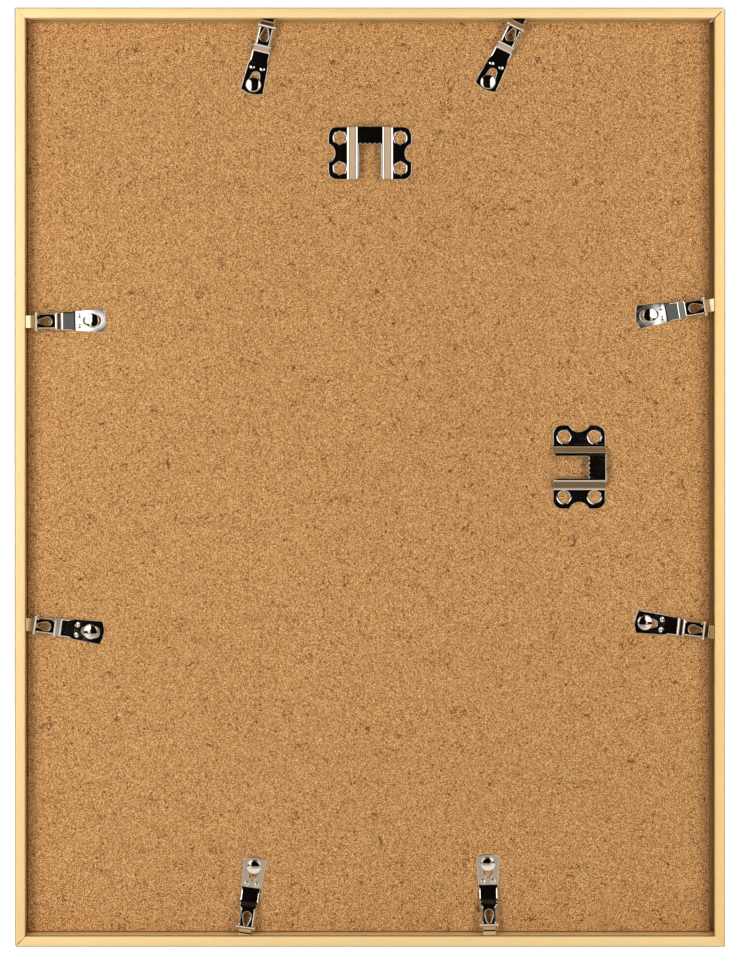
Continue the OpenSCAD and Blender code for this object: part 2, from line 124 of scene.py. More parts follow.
# Two tall lamps stand left and right before the back and light all that is matt; a third
# lights the front. None of them shows in polished metal, which has its own screens below.
def lamp(name, centre, width, height, turn, level):
    """A soft rectangular lamp that shines along -Y, turned about Z by turn degrees."""
    lamp_data = bpy.data.lights.new(name, "AREA")
    lamp_data.shape = "RECTANGLE"
    lamp_data.size = width
    lamp_data.size_y = height
    lamp_data.energy = level * math.pi * width * height
    light = bpy.data.objects.new(name, lamp_data)
    bpy.context.scene.collection.objects.link(light)
    light.location = centre
    light.rotation_euler = (math.radians(-90), 0, math.radians(turn))
    light.visible_camera = False
    light.visible_glossy = False


lamp_width = 0.34
lamp_height = 1.3
lamp_distance = 0.6
lamp_drop = 0.06
for side, hand, inner_edge, level in ((-1, "right", 0.38, 4.3), (1, "left", 0.28, 4.7)):
    lamp(f"lamp_{hand}", (side * (inner_edge + lamp_width / 2), lamp_distance,
                          middle.z - lamp_drop), lamp_width, lamp_height, 0, level)
front_lamp_width = 1.6
front_lamp_height = 1.2
lamp("lamp_front", (0.4, -1.6, 0.5), front_lamp_width, front_lamp_height, 180, 3.6)


# What polished metal sees: the lamps' bright faces, the dark room between them with two pale
# patches beside the lens, warm screens at the sides and below them, and a dim ceiling.
def spread_range(tree, value, low, high, to_low, to_high):
    """Maps a value from one range to another, held at its ends."""
    return add_node(tree, "ShaderNodeMapRange", in_0=value, in_1=low, in_2=high, in_3=to_low,
                    in_4=to_high).outputs[0]


def card(name, corners, colour, strength, fade=None):
    """A flat card that only shows in polished metal, and may fade out towards the middle."""
    mesh = bpy.data.meshes.new(name)
    mesh.from_pydata(corners, [], [tuple(range(len(corners)))])
    piece = bpy.data.objects.new(name, mesh)
    bpy.context.scene.collection.objects.link(piece)
    paint = bpy.data.materials.new(name)
    paint.use_nodes = True
    paint.node_tree.nodes.clear()
    glow = add_node(paint.node_tree, "ShaderNodeEmission", Color=(*colour, 1), Strength=strength)
    add_node(paint.node_tree, "ShaderNodeOutputMaterial", in_0=glow.outputs[0])
    if fade:
        spot = add_node(paint.node_tree, "ShaderNodeTexCoord").outputs["Object"]
        across = add_node(paint.node_tree, "ShaderNodeSeparateXYZ", Vector=spot).outputs["X"]
        away = add_node(paint.node_tree, "ShaderNodeMath", operation="ABSOLUTE", in_0=across)
        level = spread_range(paint.node_tree, away.outputs[0], *fade, 0, strength)
        paint.node_tree.links.new(level, glow.inputs["Strength"])
    mesh.materials.append(paint)
    piece.visible_camera = False
    piece.visible_diffuse = False
    piece.visible_shadow = False
    piece.visible_transmission = False


def upright_card(name, x_range, y, z_range, colour, strength):
    """A card that stands across the view."""
    (left, right), (low, high) = x_range, z_range
    card(name, [(left, y, low), (right, y, low), (right, y, high), (left, y, high)], colour,
         strength)


def side_card(name, x, y_range, z_range, colour, strength):
    """A card that stands at the side and looks across."""
    (near, far), (low, high) = y_range, z_range
    card(name, [(x, near, low), (x, far, low), (x, far, high), (x, near, high)], colour,
         strength)


def ceiling(name, y_range, z, colour, strength, half_width=0.6):
    """A card that lies overhead."""
    near, far = y_range
    card(name, [(-half_width, near, z), (half_width, near, z), (half_width, far, z),
                (-half_width, far, z)], colour, strength)


face_y = view_distance + 0.05
patch_y = view_distance + 0.07
dark_y = view_distance + 0.12
face_outer = 1.25
face_fade = 0.022
dark_half_width = 1.3
patch_x = (0.185, 0.236)
patch_height = 0.08
tongue_x = (0.284, 0.42)
tongue_z = (-0.42, -0.27)
side_x = 1.27
side_cards = (("flank_card", (0.4, view_distance), (-0.3, 1.0), (1.0, 0.84, 0.68), 0.7),
              ("near_card", (0.02, 0.27), (-0.12, 0.3), (1.0, 0.74, 0.5), 0.72),
              ("low_card", (0.02, 0.27), (-0.46, -0.28), (1.0, 0.8, 0.58), 0.8))
for side, hand, inner_edge, strength in ((1, "left", 0.23, 2.3), (-1, "right", 0.246, 2.0)):
    face = ((inner_edge, -0.12), (inner_edge, 0.28), (0.5, 0.62), (face_outer, 0.62),
            (face_outer, -0.26), (0.34, -0.26))
    card(f"bright_face_{hand}", [(side * x, face_y, z) for x, z in face], (1.0, 0.99, 0.97),
         strength, (inner_edge, inner_edge + face_fade))
upright_card("dark_card", (-dark_half_width, dark_half_width), dark_y, (-1.2, 1.6),
             (1.0, 0.75, 0.5), 0.004)
for side, hand, patch_low, tongue_level in ((-1, "right", -0.11, 0.7), (1, "left", -0.19, 1.3)):
    upright_card(f"lens_card_{hand}", sorted(side * x for x in patch_x), patch_y,
                 (patch_low, patch_low + patch_height), (0.96, 1.0, 0.97), 0.15)
    upright_card(f"tongue_card_{hand}", sorted(side * x for x in tongue_x), patch_y, tongue_z,
                 (1.0, 0.82, 0.52), tongue_level)
    for kind, y_range, z_range, colour, strength in side_cards:
        side_card(f"{kind}_{hand}", side * side_x, y_range, z_range, colour, strength)
ceiling("ceiling_card", (-0.3, 0.5), 1.5, (1.0, 0.62, 0.3), 0.23)
ceiling("ceiling_strip", (0.4, 0.54), 1.49, (1.0, 0.8, 0.52), 1.0)

# The floor lies a little below the frame, which hangs free of it. It is white to the eye and
# pale to matt surfaces, and polished metal sees it in bands, as light falls between the
# lamps: the tones run from the back's plane, at zero, out to where the camera stands.
floor_drop = 0.13
floor_reach = 6.0
floor_pale = (0.86, 0.86, 0.86)
floor_glow = 2.0
floor_tones = ((0.0, (0.22, 0.145, 0.08)), (0.052, (0.22, 0.145, 0.08)),
               (0.058, (0.02, 0.014, 0.008)), (0.078, (0.02, 0.014, 0.008)),
               (0.086, (0.66, 0.5, 0.37)), (0.12, (0.66, 0.5, 0.37)),
               (0.14, (0.22, 0.14, 0.075)), (0.22, (0.22, 0.14, 0.075)), (0.27, (1.0, 0.92, 0.82)),
               (0.6, (1.0, 0.92, 0.82)), (0.64, (0.52, 0.43, 0.34)), (1.0, (0.45, 0.38, 0.3)))
below_lamp_tone = (1.0, 0.95, 0.88)
far_aside_tone = (0.24, 0.26, 0.2)
beside_frame = (0.16, 0.3)
off_wall = (0.12, 0.2)
far_aside = (0.7, 0.82)


def blend_colours(tree, share, first, second):
    """Runs from the first colour to the second as share runs from zero to one."""
    mixer = add_node(tree, "ShaderNodeMix", data_type="RGBA")
    for index, value in ((0, share), (6, first), (7, second)):
        if isinstance(value, bpy.types.NodeSocket):
            tree.links.new(value, mixer.inputs[index])
        elif index:
            mixer.inputs[index].default_value = (*value, 1)
        else:
            mixer.inputs[index].default_value = value
    return mixer.outputs[2]


def times(tree, value, factor):
    """A value made larger or smaller by a factor."""
    return add_node(tree, "ShaderNodeMath", operation="MULTIPLY", in_0=value,
                    in_1=factor).outputs[0]


def tone_ramp(tree, value, tones):
    """A colour that runs through the tones, which are (place, colour) pairs."""
    ramp = add_node(tree, "ShaderNodeValToRGB", Fac=value)
    stops = ramp.color_ramp.elements
    stops[0].position, stops[1].position = tones[0][0], tones[-1][0]
    for position, _ in tones[1:-1]:
        stops.new(position)
    for stop, (_, tone) in zip(stops, tones):
        stop.color = (*tone, 1)
    return ramp.outputs[0]


floor_mesh = bpy.data.meshes.new("floor")
floor_z = cad_low.z - floor_drop
floor_mesh.from_pydata([(-floor_reach, -floor_reach, floor_z), (floor_reach, -floor_reach, floor_z),
                        (floor_reach, floor_reach, floor_z), (-floor_reach, floor_reach, floor_z)],
                       [], [(0, 1, 2, 3)])
floor = bpy.data.objects.new("floor", floor_mesh)
bpy.context.scene.collection.objects.link(floor)
floor_paint = bpy.data.materials.new("floor_paint")
floor_paint.use_nodes = True
tree = floor_paint.node_tree
tree.nodes.clear()
ray = add_node(tree, "ShaderNodeLightPath").outputs
matt = add_node(tree, "ShaderNodeBsdfDiffuse", Color=(*floor_pale, 1))
glow = add_node(tree, "ShaderNodeEmission", Color=(1, 1, 1, 1), Strength=floor_glow)
spot = add_node(tree, "ShaderNodeTexCoord").outputs["Object"]
spot_axes = add_node(tree, "ShaderNodeSeparateXYZ", Vector=spot).outputs
aside = add_node(tree, "ShaderNodeMath", operation="ABSOLUTE", in_0=spot_axes["X"]).outputs[0]
below_lamp = times(tree, spread_range(tree, aside, *beside_frame, 0, 1),
                   spread_range(tree, spot_axes["Y"], *off_wall, 0, 1))
bright = blend_colours(tree, below_lamp, tone_ramp(tree, spot_axes["Y"], floor_tones),
                       below_lamp_tone)
fading = blend_colours(tree, spread_range(tree, aside, *far_aside, 0, 1), bright,
                       far_aside_tone)
dim = add_node(tree, "ShaderNodeEmission", Color=fading, Strength=1)
lit = add_node(tree, "ShaderNodeMixShader", in_0=0.5, in_1=matt.outputs[0], in_2=glow.outputs[0])
eye = add_node(tree, "ShaderNodeMixShader", in_0=ray["Is Camera Ray"], in_1=matt.outputs[0],
               in_2=lit.outputs[0])
metal_eye = add_node(tree, "ShaderNodeMixShader", in_0=ray["Is Glossy Ray"], in_1=eye.outputs[0],
                     in_2=dim.outputs[0])
add_node(tree, "ShaderNodeOutputMaterial", in_0=metal_eye.outputs[0])
floor_mesh.materials.append(floor_paint)

# The rails: extruded aluminium, anodised in a pale semi-matt gold, sawn to a mitre at both
# ends. The rear lip is what shows from behind, and the clips' tongues run in the groove,
# which is painted dark as shade; the rounded outer edge is painted a dull dark gold as shade.
rail_w = 4.5
rail_depth = 15
front_lip_w = 8
front_lip_t = 1.5
rear_lip_t = 1.5
rail_skin = 0.9
rail_inner_wall = 1.2
groove_h = 2
rail_web = 1.2
mitre_inner = 0.02
section_radii = [0.55, 0.3, 0.2, 0, 0, 0.15, 0, 0.2, 0.5, 0.9]
mitre_gaps = {"top_left": 0.15, "top_right": 0.55, "bottom_left": 0.4, "bottom_right": 0.06}
outer_w = (cad_high.x - cad_low.x) / MM
outer_h = (cad_high.z - cad_low.z) / MM
glass_front = rail_depth - front_lip_t
groove_end = rear_lip_t + groove_h
chamber_start = groove_end + rail_web
chamber_w = rail_w - rail_skin - rail_inner_wall
gold_tones = ((1.0, 0.76, 0.385), (0.985, 0.70, 0.315), (0.93, 0.64, 0.27))
# The groove and the rounded outer rim are painted this dull dark gold as shade.
rim_groove_shade_gold = (0.40, 0.31, 0.2)
# The side rails' inner walls are painted this darker gold as shade.
inner_gold = (0.80, 0.56, 0.27)


def closed_loop(shape, points):
    """A closed ring of edges through the points."""
    corners = [shape.verts.new(p) for p in points]
    return [shape.edges.new((corners[i - 1], corners[i])) for i in range(len(corners))]


def rounded(points, radii, steps=4):
    """The corners of a polygon rounded to their radii; a radius of zero keeps a corner."""
    done = []
    for i, (here, radius) in enumerate(zip(points, radii)):
        here = Vector(here)
        before = Vector(points[i - 1]) - here
        after = Vector(points[(i + 1) % len(points)]) - here
        if not radius:
            done.append(tuple(here))
            continue
        half = before.angle(after) / 2
        back = radius / math.tan(half)
        start = here + before.normalized() * back
        end = here + after.normalized() * back
        centre = here + (before.normalized() + after.normalized()).normalized() * (
            radius / math.sin(half))
        for k in range(steps + 1):
            way = (start - centre).lerp(end - centre, k / steps).normalized()
            done.append(tuple(centre + way * radius))
    return done


def shade_round(shape, sharpest):
    """Smooth shading, with a crease at every edge sharper than that many degrees."""
    for face in shape.faces:
        face.smooth = True
    for edge in shape.edges:
        if len(edge.link_faces) == 2:
            edge.smooth = edge.calc_face_angle(0) < math.radians(sharpest)


def make_piece(name, shape, place, paint, body, stands_for):
    """Puts a mesh drawn in millimetres in its place, in metres, and on its body."""
    bmesh.ops.transform(shape, matrix=Matrix.Scale(MM, 4) @ place, verts=shape.verts)
    mesh = bpy.data.meshes.new(name)
    shape.to_mesh(mesh)
    shape.free()
    mesh.materials.append(paint)
    piece = bpy.data.objects.new(name, mesh)
    bpy.context.scene.collection.objects.link(piece)
    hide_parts(stands_for)
    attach(piece, body)


def new_paint(name):
    """A material with its shader, and the piece's own coordinates."""
    paint = bpy.data.materials.new(name)
    paint.use_nodes = True
    tree = paint.node_tree
    shader = tree.nodes["Principled BSDF"]
    place = add_node(tree, "ShaderNodeTexCoord").outputs["Object"]
    return paint, tree, shader, place


def noise(tree, place, scale, detail=2.0, roughness=0.5, stretch=(1, 1, 1)):
    """A noise value between zero and one over the piece's own coordinates."""
    spread = add_node(tree, "ShaderNodeMapping", Vector=place, Scale=stretch).outputs[0]
    return add_node(tree, "ShaderNodeTexNoise", Vector=spread, Scale=scale, Detail=detail,
                    Roughness=roughness).outputs["Fac"]


def blend_values(tree, share, first, second):
    """Runs from the first value to the second as share runs from zero to one."""
    return add_node(tree, "ShaderNodeMix", data_type="FLOAT", in_0=share, in_2=first,
                    in_3=second).outputs[0]


def gold_paint(name, stretch, shade_factors):
    """Pale gold with fine die lines along the rail; each rail's colour is scaled by its own painted
    shade.

    Faces marked as the side rails' inner walls are glossy and painted a darker gold as shade, and
    faces in the groove and on the rounded outer rim are dull and painted darker as shade.
    """
    paint, tree, shader, place = new_paint(name)
    pale, deep, line = [tuple(c * share for c, share in zip(tone, shade_factors)) for tone in gold_tones]
    inner = add_node(tree, "ShaderNodeAttribute", attribute_name="inner").outputs["Fac"]
    outer = add_node(tree, "ShaderNodeAttribute", attribute_name="outer").outputs["Fac"]
    lines = noise(tree, place, 2600, 2, 0.5, stretch)
    dye = noise(tree, place, 45, 3, 0.55)
    tone = blend_colours(tree, dye, deep, pale)
    toned = blend_colours(tree, spread_range(tree, lines, 0.35, 0.65, 0, 0.35), tone, line)
    edged = blend_colours(tree, outer, toned, rim_groove_shade_gold)
    tree.links.new(blend_colours(tree, inner, edged, inner_gold), shader.inputs["Base Color"])
    tree.links.new(spread_range(tree, inner, 0, 1, 0.3, 1), shader.inputs["Metallic"])
    matt = spread_range(tree, lines, 0.3, 0.7, 0.40, 0.48)
    tree.links.new(blend_values(tree, inner, matt, 0.16), shader.inputs["Roughness"])
    grain = add_node(tree, "ShaderNodeBump", Strength=0.12, Distance=0.00004, Height=lines)
    tree.links.new(grain.outputs[0], shader.inputs["Normal"])
    return paint


# The side rails get darker copies of the same gold, the right one also warmer: painted shade.
gold_level = gold_paint("gold_level", (0.02, 1, 1), (1, 1, 1))
gold_left = gold_paint("gold_left", (1, 1, 0.02), (0.88, 0.87, 0.86))
gold_right = gold_paint("gold_right", (1, 1, 0.02), (0.93, 0.87, 0.74))


def build_rail(name, turn, run, half_across, gap_plus, gap_minus, paint):
    """One rail, drawn along X at the top of the frame and turned about Y to its side."""
    upright = abs(turn) == 90
    section = [(0, 0), (0, rail_w), (rear_lip_t, rail_w), (rear_lip_t, rail_skin),
               (groove_end, rail_skin), (groove_end, rail_w), (glass_front, rail_w),
               (glass_front, front_lip_w), (rail_depth, front_lip_w), (rail_depth, 0)]
    chamber = [(chamber_start, rail_skin), (chamber_start, rail_skin + chamber_w),
               (glass_front, rail_skin + chamber_w), (glass_front, rail_skin)]
    shape = bmesh.new()
    edges = []
    for ring in (rounded(section, section_radii), chamber):
        edges += closed_loop(shape, [(-run, -d, half_across - a) for d, a in ring])
    drawn = bmesh.ops.extrude_edge_only(shape, edges=edges)["geom"]
    far = [g for g in drawn if isinstance(g, bmesh.types.BMVert)]
    bmesh.ops.translate(shape, verts=far, vec=(2 * run, 0, 0))
    for end, gap in ((1, gap_plus), (-1, gap_minus)):
        outside = Vector((end * (run / 2 - gap / math.sqrt(2)), 0, half_across))
        inside = Vector((end * (run / 2 - front_lip_w - mitre_inner / math.sqrt(2)), 0,
                         half_across - front_lip_w))
        along_cut = outside - inside
        cut = bmesh.ops.bisect_plane(
            shape, geom=shape.verts[:] + shape.edges[:] + shape.faces[:], plane_co=outside,
            plane_no=Vector((end * along_cut.z, 0, -end * along_cut.x)),
            clear_outer=True)["geom_cut"]
        rim = [g for g in cut if isinstance(g, bmesh.types.BMEdge)]
        bmesh.ops.triangle_fill(shape, use_beauty=True, edges=rim)
    bmesh.ops.recalc_face_normals(shape, faces=shape.faces)
    inner = shape.faces.layers.float.new("inner")
    outer = shape.faces.layers.float.new("outer")
    for face in shape.faces:
        depth = -face.calc_center_median().y
        # The side rails' inner walls are marked to be painted a darker gold as shade, on a glossy
        # finish.
        facing = face.normal.z < -0.7 and rear_lip_t < depth < glass_front
        face[inner] = float(facing and upright)
        # The groove and the rounded outer rim are marked to be painted a dull dark gold as shade.
        in_groove = rear_lip_t - 0.01 < depth < groove_end + 0.01 and abs(face.normal.x) < 0.5
        rim = 0.5 < face.normal.z < 0.999 and depth < rear_lip_t and turn
        face[outer] = float(bool(rim or in_groove))
    shade_round(shape, 35)
    place = Matrix.Translation((0, 0, middle.z / MM)) @ Matrix.Rotation(math.radians(turn), 4, "Y")
    make_piece(name, shape, place, paint, "frame", name.replace("gold_", ""))


build_rail("gold_top_rail", 0, outer_w, outer_h / 2, mitre_gaps["top_left"],
           mitre_gaps["top_right"], gold_level)
build_rail("gold_bottom_rail", 180, outer_w, outer_h / 2, mitre_gaps["bottom_right"],
           mitre_gaps["bottom_left"], gold_level)
build_rail("gold_left_rail", 90, outer_h, outer_w / 2, mitre_gaps["bottom_left"],
           mitre_gaps["top_left"], gold_left)
build_rail("gold_right_rail", -90, outer_h, outer_w / 2, mitre_gaps["top_right"],
           mitre_gaps["bottom_right"], gold_right)


# The corner keys: zinc-plated steel angles inside the rails, one in each corner. They are
# pushed into the chambers and hold the mitres shut.
zinc_tones = ((0.42, 0.43, 0.44), (0.62, 0.63, 0.64))


def dress(node, paint):
    """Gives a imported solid, whose shape is right, its material."""
    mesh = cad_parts[node].data
    mesh.materials.clear()
    mesh.materials.append(paint)


zinc, tree, shader, place = new_paint("zinc_plate")
crystals = add_node(tree, "ShaderNodeTexVoronoi", Vector=place, Scale=500).outputs["Color"]
grey = add_node(tree, "ShaderNodeRGBToBW", Color=crystals).outputs[0]
tree.links.new(blend_colours(tree, grey, *zinc_tones), shader.inputs["Base Color"])
shader.inputs["Metallic"].default_value = 1.0
tree.links.new(spread_range(tree, grey, 0, 1, 0.32, 0.5), shader.inputs["Roughness"])
for corner in mitre_gaps:
    dress(f"key_{corner}", zinc)

# The glass pane: 2 mm picture glass with ground edges, held between the front lips and the
# insert. It is clear, with a faint green in its depth.
glass_tones = ((0.80, 0.90, 0.86), (0.84, 0.93, 0.90))
glass, tree, shader, place = new_paint("picture_glass")
smear = noise(tree, place, 14, 4, 0.6)
tree.links.new(blend_colours(tree, smear, *glass_tones), shader.inputs["Base Color"])
tree.links.new(spread_range(tree, smear, 0.3, 0.7, 0.01, 0.05), shader.inputs["Roughness"])
shader.inputs["Alpha"].default_value = 0.1
shader.inputs["IOR"].default_value = 1.52
glass.surface_render_method = "BLENDED"
dress("glass_pane", glass)

# The insert: a plain sheet of white paper, where the picture goes. The back presses it
# against the glass.
paper_tones = ((0.80, 0.79, 0.76), (0.90, 0.89, 0.87))
paper, tree, shader, place = new_paint("insert_paper")
pulp = noise(tree, place, 900, 3, 0.6)
tree.links.new(blend_colours(tree, pulp, *paper_tones), shader.inputs["Base Color"])
shader.inputs["Roughness"].default_value = 0.9
press = add_node(tree, "ShaderNodeBump", Strength=0.2, Distance=0.00005, Height=pulp)
tree.links.new(press.outputs[0], shader.inputs["Normal"])
dress("insert_sheet", paper)

# The back: 3 mm hardboard, pressed from brown wood fibre, with lighter and darker chips,
# dark specks of bark and here and there a curled fibre. Scales are counts in a metre.
chip_scale = 3900
fluff_scale = 2400
speck_scale = 290
curl_scale = 330
patch_scale = 130
chip_tones = ((0.08, (72, 26, 0)), (0.2, (114, 62, 8)), (0.38, (168, 114, 54)),
              (0.6, (210, 155, 92)), (0.8, (238, 186, 126)), (0.92, (248, 212, 156)))
cloud_tone = (156, 104, 48)
speck_tone = (84, 38, 6)
fibre_tone = (92, 46, 10)


def linear(tone):
    """The shader's colour for a tone that is written as a picture shows it, from 0 to 255."""
    shares = [level / 255 for level in tone]
    return tuple(c / 12.92 if c < 0.04045 else ((c + 0.055) / 1.055) ** 2.4 for c in shares)


board, tree, shader, place = new_paint("hardboard")
chip = add_node(tree, "ShaderNodeTexVoronoi", Vector=place, Scale=chip_scale).outputs["Color"]
chip_tone = add_node(tree, "ShaderNodeSeparateColor", Color=chip).outputs[0]
fluff = noise(tree, place, fluff_scale, 2, 0.6)
mixed = add_node(tree, "ShaderNodeMath", operation="ADD", in_0=times(tree, chip_tone, 0.8),
                 in_1=times(tree, fluff, 0.2)).outputs[0]
cloud = noise(tree, place, 12, 3, 0.5)
chips = tone_ramp(tree, mixed, [(position, linear(tone)) for position, tone in chip_tones])
shaded = blend_colours(tree, spread_range(tree, cloud, 0.3, 0.7, 0, 0.1), chips,
                       linear(cloud_tone))
laid_flat = add_node(tree, "ShaderNodeMapping", Vector=place,
                     Rotation=(math.radians(90), 0, 0)).outputs[0]
cells = add_node(tree, "ShaderNodeTexVoronoi", voronoi_dimensions="2D", Vector=laid_flat,
                 Scale=speck_scale)
chosen = add_node(tree, "ShaderNodeSeparateColor", Color=cells.outputs["Color"]).outputs[0]
speck_size = spread_range(tree, chosen, 0.65, 1.0, 0.0, 0.15)
speck = add_node(tree, "ShaderNodeMath", operation="LESS_THAN", in_0=cells.outputs["Distance"],
                 in_1=speck_size).outputs[0]
specked = blend_colours(tree, times(tree, speck, 0.8), shaded, linear(speck_tone))
curl = noise(tree, place, curl_scale, 0, 0.5)
near_line = add_node(tree, "ShaderNodeMath", operation="COMPARE", in_0=curl, in_1=0.5,
                     in_2=0.022).outputs[0]
patch = noise(tree, place, patch_scale, 0, 0.5)
in_patch = add_node(tree, "ShaderNodeMath", operation="GREATER_THAN", in_0=patch,
                    in_1=0.63).outputs[0]
fibre = times(tree, times(tree, near_line, in_patch), 0.75)
fibred = blend_colours(tree, fibre, specked, linear(fibre_tone))
tree.links.new(fibred, shader.inputs["Base Color"])
shader.inputs["Roughness"].default_value = 0.75
shader.inputs["Specular IOR Level"].default_value = 0.25
rough = add_node(tree, "ShaderNodeBump", Strength=0.35, Distance=0.00008, Height=mixed)
tree.links.new(rough.outputs[0], shader.inputs["Normal"])
dress("backing_board", board)
board_back = -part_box("backing_board")[1].y / MM
board_front = -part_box("backing_board")[0].y / MM


# The hangers: sawtooth hangers pressed from nickel-plated sheet steel. Each wing lies on
# the board and is held by the claws that are bent down out of its two holes.
hanger_w = 36.9
hanger_h = 23.2
hanger_t = 0.8
bridge_lift = 3.8
bridge_w = 12
bridge_h = 7.4
window_w = 9.7
riser_run = 3.5
window_chamfer = 1.1
wing_corner_r = 4
wing_hollow_r = 4.5
wing_hollow_depth = 2.9
tooth_pitch = 2.1
notch_depth = 0.7
claw_pitch_x = 26.5
claw_pitch_z = 13.4
claw_hole_r = 2.4
claw_rim = 0.85
claw_w = 1.8
claw_t = 0.63
claw_point = 0.12
claw_depth = 2.2
claw_set = 0.3
claw_root = 0.2
foot_bend = 0.65
bridge_bend = 0.55
funnel_steps = 10
cut_column = 1.5
cut_row = 2.1
edge_inset = (0.09, 0.13, 0.05)
edge_drop = (0.15, 0.035)
plate_tones = ((0.76, 0.73, 0.68), (0.84, 0.82, 0.78))
sheared_nickel = (0.90, 0.83, 0.74)
# unlit_nickel is painted shade on the underside.
unlit_nickel = (0.16, 0.13, 0.11)
# The tongue is painted this gold as a reflection of the rail's lip and groove.
painted_tongue_reflection = (0.56, 0.44, 0.28)
# The ears are painted this matt beige as a reflection of the gold lip.
painted_ear_reflection = (0.82, 0.62, 0.42)


def arc(centre, radius, start, end, steps):
    """Points along an arc, with its angles in degrees."""
    turns = [math.radians(start + (end - start) * k / steps) for k in range(steps + 1)]
    return [(centre[0] + radius * math.cos(a), centre[1] + radius * math.sin(a)) for a in turns]


def bend_path(start_height, bends):
    """Height and slope along a bent sheet: bends are (place, slope after it, half width)."""
    def at(x):
        height, slope, before = start_height, 0.0, 0.0
        for place, after, half in bends:
            change = after - before
            before = after
            into = min(max((x - place + half) / (2 * half), 0), 1)
            height += change * (half * into * into + max(x - place - half, 0))
            slope += change * into
        return height, slope
    return at


def bend_stations(bends, steps=6, guard=0.07):
    """Where the sheet is cut across so that its bends come out round."""
    places = []
    for place, _, half in bends:
        places += [place - half - guard, place + half + guard]
        places += [place - half + 2 * half * k / steps for k in range(steps + 1)]
    return places


def cut_across(shape, axis, places):
    """Cuts every face of the mesh at planes across the axis."""
    for place in sorted(places):
        normal = Vector((0, 0, 0))
        normal[axis] = 1
        bmesh.ops.bisect_plane(shape, geom=shape.verts[:] + shape.edges[:] + shape.faces[:],
                               plane_co=normal * place, plane_no=normal, dist=0.002)


def blank(loops, thickness, keep_sharp=lambda x, z: False):
    """A flat punched blank: its outer face at Y zero, its edges eased except where kept."""
    shape = bmesh.new()
    edges = []
    for ring in loops:
        edges += closed_loop(shape, [(x, 0, z) for x, z in ring])
    bmesh.ops.triangle_fill(shape, use_beauty=True, edges=edges)
    back = bmesh.ops.extrude_face_region(shape, geom=shape.faces[:])["geom"]
    bmesh.ops.translate(shape, verts=[g for g in back if isinstance(g, bmesh.types.BMVert)],
                        vec=(0, -thickness, 0))
    bmesh.ops.recalc_face_normals(shape, faces=shape.faces)
    top = [f for f in shape.faces if f.normal.y > 0.5]
    for width in edge_inset:
        bmesh.ops.inset_region(shape, faces=top, thickness=width, use_even_offset=True,
                               use_boundary=True)
    walls = {v for f in shape.faces if abs(f.normal.y) < 0.5 for v in f.verts if v.co.y > -1e-6}
    second = {e.other_vert(v) for v in walls for e in v.link_edges}
    second = {v for v in second if v not in walls and v.co.y > -1e-6}
    for ring, drop in ((walls, edge_drop[0]), (second, edge_drop[1])):
        for v in ring:
            if not keep_sharp(v.co.x, v.co.z):
                v.co.y -= drop
    return shape


def mark_edges(shape):
    """Marks the faces that stand square to the sheet, its sheared edges, and its underside, which
    is painted dark as shade.
    """
    cut = shape.faces.layers.float.new("cut")
    under = shape.faces.layers.float.new("under")
    for face in shape.faces:
        face[cut] = float(abs(face.normal.y) < 0.3)
        face[under] = float(face.normal.y < -0.3)


def nickel_paint(name, wobble, smudge):
    """Bright nickel, faintly wavy and smudged.

    Sheared edges are duller; the underside is painted dark as shade, the tongue carries a
    painted gold reflection of the lip, and the ears a painted matt beige reflection.
    """
    paint, tree, shader, place = new_paint(name)
    cut = add_node(tree, "ShaderNodeAttribute", attribute_name="cut").outputs["Fac"]
    tongue_gold_reflection = add_node(tree, "ShaderNodeAttribute", attribute_name="tongue_gold_reflection").outputs["Fac"]
    under = add_node(tree, "ShaderNodeAttribute", attribute_name="under").outputs["Fac"]
    ear_beige_reflection = add_node(tree, "ShaderNodeAttribute", attribute_name="ear_beige_reflection").outputs["Fac"]
    film = noise(tree, place, 260, 3, 0.5)
    plate = blend_colours(tree, film, *plate_tones)
    edged = blend_colours(tree, cut, plate, sheared_nickel)
    underside_shaded = blend_colours(tree, under, edged, unlit_nickel)
    tongue_reflected = blend_colours(tree, tongue_gold_reflection, underside_shaded, painted_tongue_reflection)
    tree.links.new(blend_colours(tree, ear_beige_reflection, tongue_reflected, painted_ear_reflection), shader.inputs["Base Color"])
    tree.links.new(spread_range(tree, ear_beige_reflection, 0, 1, 1, 0.25), shader.inputs["Metallic"])
    polished = spread_range(tree, film, 0.35, 0.75, 0.03, smudge)
    edge_matt = blend_values(tree, cut, polished, 0.42)
    tongue_gloss = blend_values(tree, tongue_gold_reflection, edge_matt, 0.1)
    tree.links.new(blend_values(tree, ear_beige_reflection, tongue_gloss, 0.45), shader.inputs["Roughness"])
    waves = noise(tree, place, 110, 1, 0.5)
    uneven = add_node(tree, "ShaderNodeBump", Strength=1.0, Distance=wobble, Height=waves)
    tree.links.new(uneven.outputs[0], shader.inputs["Normal"])
    return paint


hanger_nickel = nickel_paint("hanger_nickel", 0.000012, 0.09)


